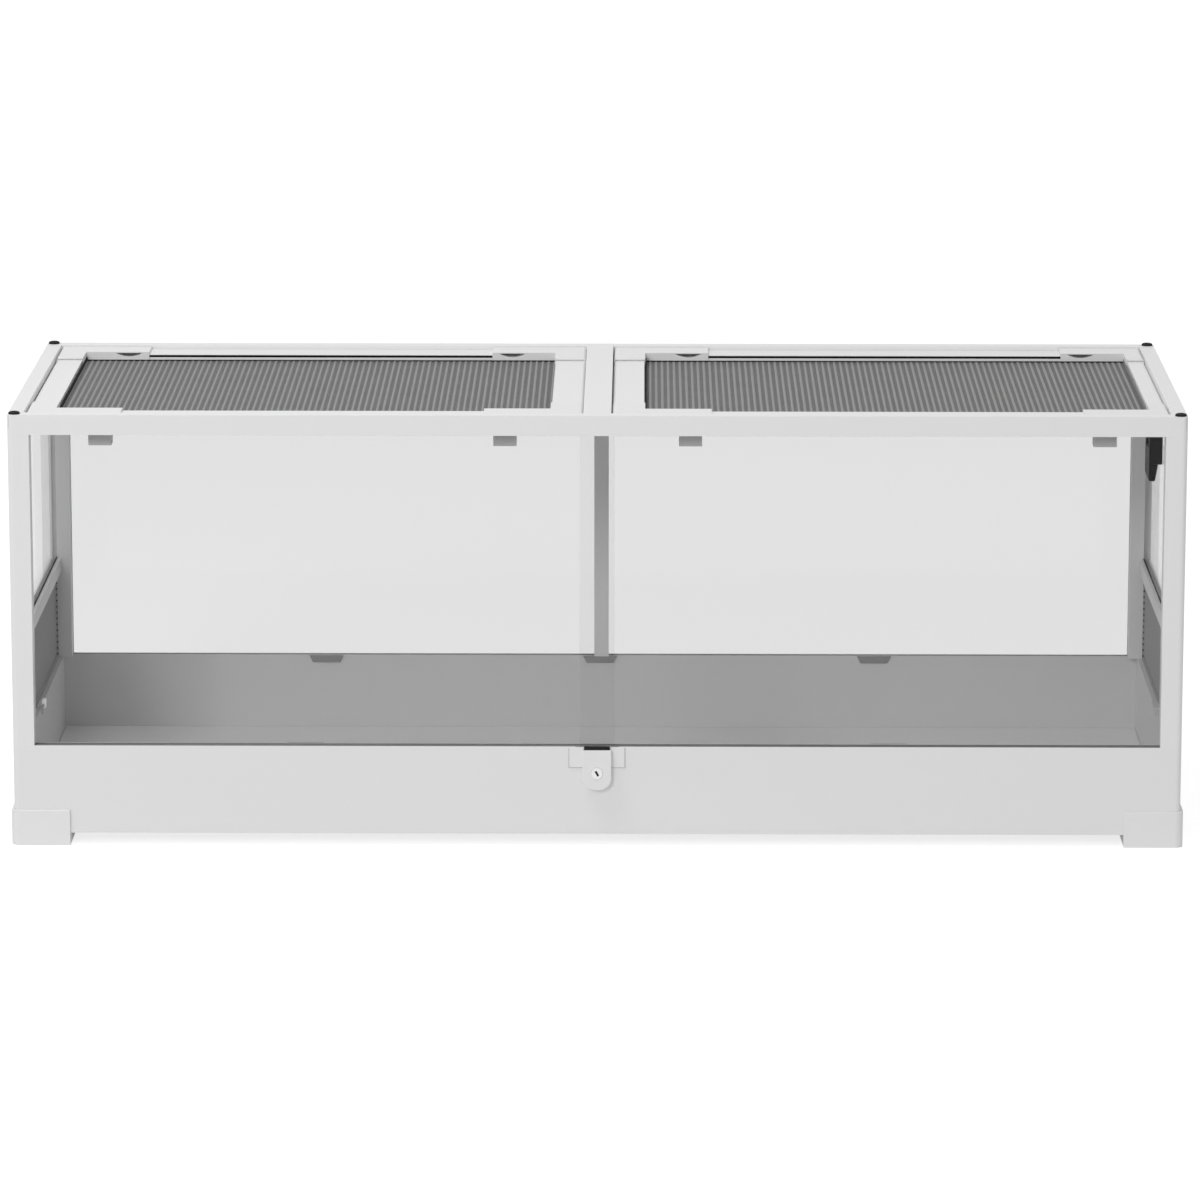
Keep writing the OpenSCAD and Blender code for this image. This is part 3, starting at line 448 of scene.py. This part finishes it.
# %% Profiles and walls
PROFILE_EDGE = 0.5 * MM
for side in SIDES:
    for end in ENDS:
        softened(f"post_{end}_{side}", 0.25 * MM, coat)
        softened(f"foot_{end}_{side}", 0.9 * MM, moulded, 3)
    softened(f"top_rail_{side}", PROFILE_EDGE, coat)
    softened(f"mid_rail_{side}", PROFILE_EDGE, coat)
    softened(f"base_panel_{side}", PROFILE_EDGE, sheet_white)
for end in ENDS:
    softened(f"top_rail_{end}", PROFILE_EDGE, coat)
softened("base_panel_front", PROFILE_EDGE, sheet_white)
softened("base_panel_rear", PROFILE_EDGE, rear_white_painted_shade)
softened("lid_brace", PROFILE_EDGE, coat)
softened("rear_centre_post", 0.4 * MM, coat)
softened("floor_panel", 1.0 * MM, floor_white_painted_light)
softened("door_track_upper", 0.15 * MM, track_grey_painted_shade)
softened("door_track_lower", 0.15 * MM, track_grey_painted_shade)
softened("foot_screws", 0.4 * MM, screw_steel)

# %% [markdown]
# ## Clips of the base
#
# The clips on the front and rear walls are grey, those that hook over the side walls white.
# They share one CAD node, so its mesh is copied twice and each copy keeps one kind: a vertex
# goes when it lies on the wrong side of a line near the side walls. The left one has a pale
# thumb button over its inner top edge, which is one more box.

# %% Grey and white clips
clip_reach = low_high("base_clips")[1].x - 30 * MM
side_places = []
for name, material, slot, keep_sides in (
    ("wall_clips", clip_grey, "grey_plastic", False), ("side_clips", moulded, "white_moulding", True)
):
    bm = copy_of("base_clips")
    wrong = [v for v in bm.verts if (abs(v.co.x) > clip_reach) != keep_sides]
    bmesh.ops.delete(bm, geom=wrong, context="VERTS")
    if keep_sides:
        side_places = [v.co.copy() for v in bm.verts]
    finish_piece(soften(bm, 0.3 * MM), name, material, "base_clips")

# %% Thumb button of the left clip
inner_x = max(v.x for v in side_places if v.x < 0)
middle_y = sum(v.y for v in side_places) / len(side_places)
foot_z = min(v.z for v in side_places)
half_length = 6 * MM
bm = bmesh.new()
add_bar(
    bm, (inner_x - 3 * MM, middle_y - half_length, foot_z + 4 * MM),
    (inner_x + 1 * MM, middle_y + half_length, foot_z + 13 * MM),
)
soften(bm, 0.8 * MM)
finish_piece(bm, "side_clip_button", nylon_painted_light, "base_clips", replaces=False)
print("button at, mm:", [round(c / MM, 1) for c in (inner_x, middle_y, foot_z)])

# %% [markdown]
# ## Panes and doors
#
# Float glass has its edges ground, so the panes get a fine bevel. Their big faces stay as
# they are. Each side pane stands on the middle rail with a thin black seal on its inner side.

# %% Glass pieces
for side in SIDES:
    softened(f"rear_glass_{side}", 0.4 * MM, rear_pane, 1)
    softened(f"side_glass_{side}", 0.4 * MM, side_pane, 1)
    softened(f"door_{side}", 0.4 * MM, door_pane, 1)
print("panes: 6")

# %% Rubber seals under the side panes
SEAL_T = 0.9 * MM
for side in SIDES:
    bm = bmesh.new()
    rail_low, rail_high = low_high(f"mid_rail_{side}")
    pane_low, pane_high = low_high(f"side_glass_{side}")
    x = pane_high.x if side == "left" else pane_low.x - SEAL_T
    add_bar(
        bm, (x, rail_low.y, rail_high.z - 0.2 * MM),
        (x + SEAL_T, rail_high.y, rail_high.z + 1.1 * MM),
    )
    soften(bm, 0.2 * MM)
    finish_piece(
        bm, f"side_seal_{side}", black_rubber_and_painted_shade, f"mid_rail_{side}", replaces=False
    )
print("seals: 2")

# %% [markdown]
# ## Lids
#
# Each lid is four hollow bars held by moulded corner pieces, with a latch under each corner.

# %% Bars and corner pieces
for side in SIDES:
    for bar in ("front_bar", "rear_bar", "outer_bar", "inner_bar"):
        softened(f"lid_{side}_{bar}", 0.4 * MM, coat)
    softened(f"lid_{side}_corners", 0.6 * MM, moulded, 3)
    for end in ENDS:
        for place in ("outer", "inner"):
            softened(f"lid_{side}_latch_{end}_{place}", 0.3 * MM, latch_grey)
print("lid frames: 2")

# %% [markdown]
# ## Lid screens
#
# A screen is a corrugated sheet of fine wire: rounded ribs run from front to rear, and thin
# cross wires join them. Each rib is a cube that is stretched into a bar and then bevelled
# into a half round. A screen has hundreds of wires, so each keeps only a few faces.

# %% Ribs and cross wires of a lid screen
RIB_PITCH = 6.5 * MM
RIB_W = 3.3 * MM
RIB_ROUND = 1.2 * MM
WIRE_PITCH = 1.5 * MM
WIRE_W = 0.75 * MM
for side in SIDES:
    low, high = low_high(f"lid_{side}_screen")
    middle = (low + high) / 2
    ribs = bmesh.new()
    count = int((high.x - low.x) / RIB_PITCH)
    for i in range(count):
        x = middle.x + (i - (count - 1) / 2) * RIB_PITCH
        rib = add_bar(ribs, (x - RIB_W / 2, low.y, low.z), (x + RIB_W / 2, high.y, high.z))
        soften(ribs, RIB_ROUND, ridge_edges(rib))
    finish_piece(ribs, f"lid_{side}_screen_ribs", rib_grey, f"lid_{side}_screen")
    wires = bmesh.new()
    rows = int((high.y - low.y) / WIRE_PITCH)
    for i in range(rows):
        y = middle.y + (i - (rows - 1) / 2) * WIRE_PITCH
        add_bar(
            wires, (low.x, y - WIRE_W / 2, low.z),
            (high.x, y + WIRE_W / 2, low.z + WIRE_W),
        )
    finish_piece(wires, f"lid_{side}_screen_wires", wire_grey_painted_shade, f"lid_{side}_screen")
    print(f"{side} screen: {count} ribs, {rows} cross wires")

# %% [markdown]
# ## Cords and painted shade in the lids
#
# A black cord lies in the slot of each long bar and holds the screen; from the front it shows
# as a dark line under the bar's top, and its black also paints the shade in the slot. A thin
# black strip stands on the screen along the left and rear edges of the opening, and a grey one
# along the right edge: these are painted shade, for the bars' shadow on the screen and the dark
# where the screen meets the bars. All are bars with rounded edges.

# %% Cords and painted shade strips
CORD = 3.0 * MM
CORD_INSET = 0.3 * MM
SLOT_COVER = 0.5 * MM
SHADE_STRIP_INSET = 1.1 * MM
SHADE_STRIP_RISE = 3.6 * MM
SHADE_STRIP_LOW_RISE = 0.9 * MM
for side in SIDES:
    screen_top = low_high(f"lid_{side}_screen")[1].z
    rear_low, rear_high = low_high(f"lid_{side}_rear_bar")
    front_edge = low_high(f"lid_{side}_front_bar")[1].y
    left_bar, right_bar = ("outer", "inner") if side == "left" else ("inner", "outer")
    left_edge = low_high(f"lid_{side}_{left_bar}_bar")[1].x
    right_edge = low_high(f"lid_{side}_{right_bar}_bar")[0].x
    front_end = front_edge + SHADE_STRIP_INSET
    rear_end = rear_low.y - SHADE_STRIP_INSET
    cord_and_shade_strips = bmesh.new()
    cord_top = rear_high.z - SLOT_COVER
    for y in (rear_low.y + CORD_INSET, front_edge - CORD_INSET - CORD):
        add_bar(cord_and_shade_strips, (rear_low.x, y, cord_top - CORD), (rear_high.x, y + CORD, cord_top))
    # Painted shade: a black strip stands in for the bar's shadow along the left edge, and a low one
    # for the dark along the rear edge.
    shade_strip_x = left_edge + 2.4 * MM
    add_bar(
        cord_and_shade_strips, (left_edge + 1.05 * MM, front_end, screen_top),
        (shade_strip_x, rear_end, screen_top + SHADE_STRIP_RISE),
    )
    add_bar(
        cord_and_shade_strips, (shade_strip_x, rear_end - 1.1 * MM, screen_top),
        (right_edge - SHADE_STRIP_INSET, rear_end, screen_top + SHADE_STRIP_LOW_RISE),
    )
    soften(cord_and_shade_strips, 0.3 * MM)
    finish_piece(
        cord_and_shade_strips, f"lid_{side}_rubber", black_rubber_and_painted_shade, f"lid_{side}_screen", replaces=False
    )
    # Painted shade: a grey strip along the right edge stands in for the shade at the bar's inner wall.
    grey_shade_strip = bmesh.new()
    add_bar(
        grey_shade_strip, (right_edge - 1.4 * MM, front_end, screen_top),
        (right_edge - 0.1 * MM, rear_end, screen_top + SHADE_STRIP_RISE),
    )
    soften(grey_shade_strip, 0.3 * MM)
    finish_piece(
        grey_shade_strip, f"lid_{side}_seal", rib_grey, f"lid_{side}_screen", replaces=False
    )
print("rubber pieces: 4")

# %% [markdown]
# ## Side vents
#
# A vent is a sheet with rows of small slots in a plain border. The border is a frame of four
# bars; the slotted field is made of upright and level strips. A column of dark studs holds
# the sheet along its rear edge: each one is a short cylinder.

# %% Borders and slotted fields
VENT_BORDER = 9 * MM
VENT_PITCH = 2.6 * MM
VENT_WIRE = 1.0 * MM
STUDS = 16
STUD_R = 0.9 * MM
STUD_L = 1.6 * MM
STUD_INSET = 12 * MM
for side in SIDES:
    low, high = low_high(f"vent_panel_{side}")
    middle = (low + high) / 2
    inner_low = low + Vector((0, VENT_BORDER, VENT_BORDER))
    inner_high = high - Vector((0, VENT_BORDER, VENT_BORDER))
    sheet = bmesh.new()
    add_bar(sheet, low, (high.x, high.y, inner_low.z))
    add_bar(sheet, (low.x, low.y, inner_high.z), high)
    add_bar(sheet, (low.x, low.y, inner_low.z), (high.x, inner_low.y, inner_high.z))
    add_bar(sheet, (low.x, inner_high.y, inner_low.z), (high.x, high.y, inner_high.z))
    soften(sheet, 0.3 * MM)
    rows = int((inner_high.z - inner_low.z) / VENT_PITCH)
    columns = int((inner_high.y - inner_low.y) / VENT_PITCH)
    for i in range(rows):
        z = middle.z + (i - (rows - 1) / 2) * VENT_PITCH
        add_bar(
            sheet, (middle.x - 0.5 * MM, inner_low.y, z - VENT_WIRE / 2),
            (middle.x + 0.1 * MM, inner_high.y, z + VENT_WIRE / 2),
        )
    for i in range(columns):
        y = middle.y + (i - (columns - 1) / 2) * VENT_PITCH
        add_bar(
            sheet, (middle.x - 0.1 * MM, y - VENT_WIRE / 2, inner_low.z),
            (middle.x + 0.5 * MM, y + VENT_WIRE / 2, inner_high.z),
        )
    studs = bmesh.new()
    inside = low.x if side == "right" else high.x
    lying = Matrix.Rotation(pi / 2, 4, "Y")
    for i in range(STUDS):
        z = low.z + (i + 0.5) * (high.z - low.z) / STUDS
        bmesh.ops.create_cone(
            studs, cap_ends=True, segments=12, radius1=STUD_R, radius2=STUD_R, depth=STUD_L,
            matrix=Matrix.Translation((inside, high.y - STUD_INSET, z)) @ lying,
        )
    finish_piece(
        studs, f"vent_panel_{side}_studs", stud_grey, f"vent_panel_{side}",
        replaces=False,
    )
    finish_piece(sheet, f"vent_panel_{side}_mesh", vent_grey, f"vent_panel_{side}")
    print(f"{side} vent: {rows} rows, {columns} columns")

# %% [markdown]
# ## Corner screws
#
# A long screw holds each corner of the top frame to its post, and its round black head shows. It
# is a turned shape, so its half outline is drawn once and spun at each corner.

# %% Spin a screw at each corner
low, high = low_high("post_plugs")
HEAD_R = 6 * MM
SHANK_R = 3 * MM
HEAD_TOP = high.z
RAIL_TOP = low_high("top_rail_front")[1].z
outline = [
    (0, HEAD_TOP - 0.9 * MM), (2.2 * MM, HEAD_TOP - 0.9 * MM), (2.6 * MM, HEAD_TOP - 0.1 * MM),
    (4.6 * MM, HEAD_TOP), (5.5 * MM, HEAD_TOP - 0.5 * MM), (HEAD_R, HEAD_TOP - 1.3 * MM),
    (HEAD_R, RAIL_TOP), (SHANK_R, RAIL_TOP), (SHANK_R, low.z), (0, low.z),
]
screws = bmesh.new()
for corner_x in (low.x + HEAD_R, high.x - HEAD_R):
    for corner_y in (low.y + HEAD_R, high.y - HEAD_R):
        verts = [screws.verts.new((corner_x + r, corner_y, z)) for r, z in outline]
        edges = [screws.edges.new(pair) for pair in zip(verts, verts[1:])]
        bmesh.ops.spin(
            screws, geom=verts + edges, cent=(corner_x, corner_y, 0), axis=(0, 0, 1),
            angle=2 * pi, steps=40, use_merge=True,
        )
bmesh.ops.remove_doubles(screws, verts=screws.verts, dist=MERGE)
bmesh.ops.recalc_face_normals(screws, faces=screws.faces)
finish_piece(screws, "post_plugs_turned", black, "post_plugs")
print("corner screws: 4")

# %% [markdown]
# ## Lock and cable inlet
#
# The lock is a small casting on a thin plate, with a key cylinder and a black bolt. The
# keyhole's dark is painted shade: a slim black box let into the cylinder's face, a hair proud so
# that it shows. It turns with the cylinder, so it rides on the cylinder's body.

# %% Lock pieces
softened("lock_plate", 0.3 * MM, casting)
softened("lock_body", 1.2 * MM, casting, 3)
softened("lock_cylinder", 0.35 * MM, cylinder_white)
softened("lock_bolt", 0.4 * MM, black)
softened("inlet_housing", 0.8 * MM, black)
softened("inlet_gate", 0.8 * MM, black)
print("lock and inlet pieces: 6")

# %% Painted shade of the keyhole
KEYHOLE_W, KEYHOLE_L, KEYHOLE_DEPTH = 2.3 * MM, 6.0 * MM, 1.0 * MM
KEYHOLE_PROUD = 0.05 * MM
KEYHOLE_TILT = radians(29)
low, high = low_high("lock_cylinder")
middle = (low + high) / 2
middle.y = low.y + KEYHOLE_DEPTH / 2 - KEYHOLE_PROUD
size = Matrix.Diagonal((KEYHOLE_W, KEYHOLE_DEPTH, KEYHOLE_L, 1.0))
tilt = Matrix.Rotation(-KEYHOLE_TILT, 4, "Y")
# Painted shade: a black box in place of the keyhole's shadowed depth.
keyhole_shade_box = bmesh.new()
bmesh.ops.create_cube(keyhole_shade_box, size=1.0, matrix=Matrix.Translation(middle) @ tilt @ size)
soften(keyhole_shade_box, 0.02 * MM)
finish_piece(keyhole_shade_box, "lock_keyhole_painted_shade", black, "lock_cylinder", replaces=False)
print("keyway, mm:", round(KEYHOLE_W / MM, 1), "by", round(KEYHOLE_L / MM, 1))

# %% [markdown]
# A thin grey rim stands out all round the plate as painted shade along its edges, and a thin
# black line shows along the sill on both sides of the bolt.

# %% Painted shade rim and sill strip
SHADE_RIM_EDGE = 0.5 * MM
STRIP_L = 9 * MM
STRIP_GAP = 0.4 * MM
FACE = low_high("base_panel_front")[0].y
SILL = low_high("base_panel_front")[1].z
low, high = low_high("lock_plate")
bolt_low, bolt_high = low_high("lock_bolt")
# Painted shade: the grey rim behind the plate shows as dark lines round its edges.
plate_shade_rim = bmesh.new()
add_bar(
    plate_shade_rim, (low.x - SHADE_RIM_EDGE, FACE - 0.35 * MM, low.z - SHADE_RIM_EDGE),
    (high.x + SHADE_RIM_EDGE, FACE + 0.1 * MM, SILL - 1.2 * MM),
)
soften(plate_shade_rim, 0.1 * MM)
finish_piece(plate_shade_rim, "lock_plate_painted_shade", clip_grey, "lock_plate", replaces=False)
strip = bmesh.new()
for left, right in (
    (bolt_low.x - STRIP_L, bolt_low.x - STRIP_GAP), (bolt_high.x + STRIP_GAP, bolt_high.x + STRIP_L)
):
    add_bar(strip, (left, high.y - 0.2 * MM, SILL - 0.9 * MM), (right, FACE + 1 * MM, SILL + 0.1 * MM))
soften(strip, 0.1 * MM)
finish_piece(strip, "lock_strip", black, "lock_plate", replaces=False)
print("gasket and strip: 2")

# %% [markdown]
# ## Floor and background
#
# The case stands on a plain pale floor. The background is white only for rays that come from
# the camera, from a mirror or through glass: the light on the object doesn't change.

# %% Studio floor
FLOOR_HALF = 14.0
bm = bmesh.new()
bmesh.ops.create_grid(bm, x_segments=1, y_segments=1, size=FLOOR_HALF)
mesh = bpy.data.meshes.new("studio_floor")
bm.to_mesh(mesh)
bm.free()
floor = bpy.data.objects.new("studio_floor", mesh)
bpy.context.scene.collection.objects.link(floor)

# %% White floor that keeps the shadow
PAPER_GLOW = 0.76
paper = Shader("studio_paper", Roughness=0.9, Specular_IOR_Level=0.1, Emission_Color=grey(1.0))
shown = paper.shown()
paper.drive("Base Color", paper.blend(shown, grey(0.8), grey(0.5)))
paper.drive("Emission Strength", PAPER_GLOW * shown)
mesh.materials.append(paper.material)
print("floor:", floor.name)

# %% World
AMBIENT = 0.52
world = bpy.data.worlds.new("studio")
world.use_nodes = True
bpy.context.scene.world = world
backdrop = Wiring(world.node_tree)
background = world.node_tree.nodes["Background"]
background.inputs["Color"].default_value = grey(1.0)
backdrop.link(background.inputs["Strength"], AMBIENT + (1 - AMBIENT) * backdrop.shown())
print("ambient light:", AMBIENT)

# %% [markdown]
# ## Lamps
#
# In the photograph the shadows are short and fall to the right, so the main lamp hangs high
# above the left side. A second one at the front lights the faces that look at the camera.

# %% Area lamps
def soft_lamp(name, place, target, size, power):
    """A square area lamp that looks at a target."""
    data = bpy.data.lights.new(name, "AREA")
    data.size = size
    data.energy = power
    lamp = bpy.data.objects.new(name, data)
    bpy.context.scene.collection.objects.link(lamp)
    direction = Vector(target) - Vector(place)
    lamp.rotation_mode = "QUATERNION"
    lamp.rotation_quaternion = direction.to_track_quat("-Z", "Y")
    lamp.location = place


CASE_MIDDLE = (0, 0, 0.25)
soft_lamp("key_lamp", (-1.2, -0.8, 3.4), CASE_MIDDLE, 0.9, 36.0)
soft_lamp("front_lamp", (-2.2, -6.6, 3.2), CASE_MIDDLE, 1.6, 127.0)
print("lamps: 2")

# %% [markdown]
# ## Camera
#
# The camera stands far off with a long lens, as for a product photograph: that keeps the
# case's uprights nearly parallel. Its place and its turn were fitted to the frame's corners
# in the photograph.

# %% Camera at the photograph's viewpoint
YAW, PITCH, ROLL = -0.0072, 0.20631, -0.00061
PHOTO_SIDE_PX = 1200
FOCAL_PX = 6162.64
SENSOR = 36.0
EYE_RIGHT, EYE_BEFORE_FACE, EYE_HEIGHT = 48.17 * MM, 6262.86 * MM, 1573.86 * MM
forward = Vector((sin(YAW) * cos(PITCH), cos(YAW) * cos(PITCH), -sin(PITCH)))
right = Vector((cos(YAW), -sin(YAW), 0))
down = forward.cross(right)
turned_right = cos(ROLL) * right + sin(ROLL) * down
turned_down = cos(ROLL) * down - sin(ROLL) * right
lens = bpy.data.cameras.new("photo_camera")
lens.sensor_width = SENSOR
lens.lens = FOCAL_PX / PHOTO_SIDE_PX * SENSOR
lens.clip_start, lens.clip_end = 0.1, 100.0
camera = bpy.data.objects.new("photo_camera", lens)
bpy.context.scene.collection.objects.link(camera)
axes = Matrix((turned_right, -turned_down, -forward)).transposed()
eye = Vector((EYE_RIGHT, FACE - EYE_BEFORE_FACE, EYE_HEIGHT))
camera.matrix_world = Matrix.Translation(eye) @ axes.to_4x4()
bpy.context.scene.camera = camera
print("camera:", [round(c, 3) for c in eye])

bpy.context.scene.view_settings.view_transform = "Standard"
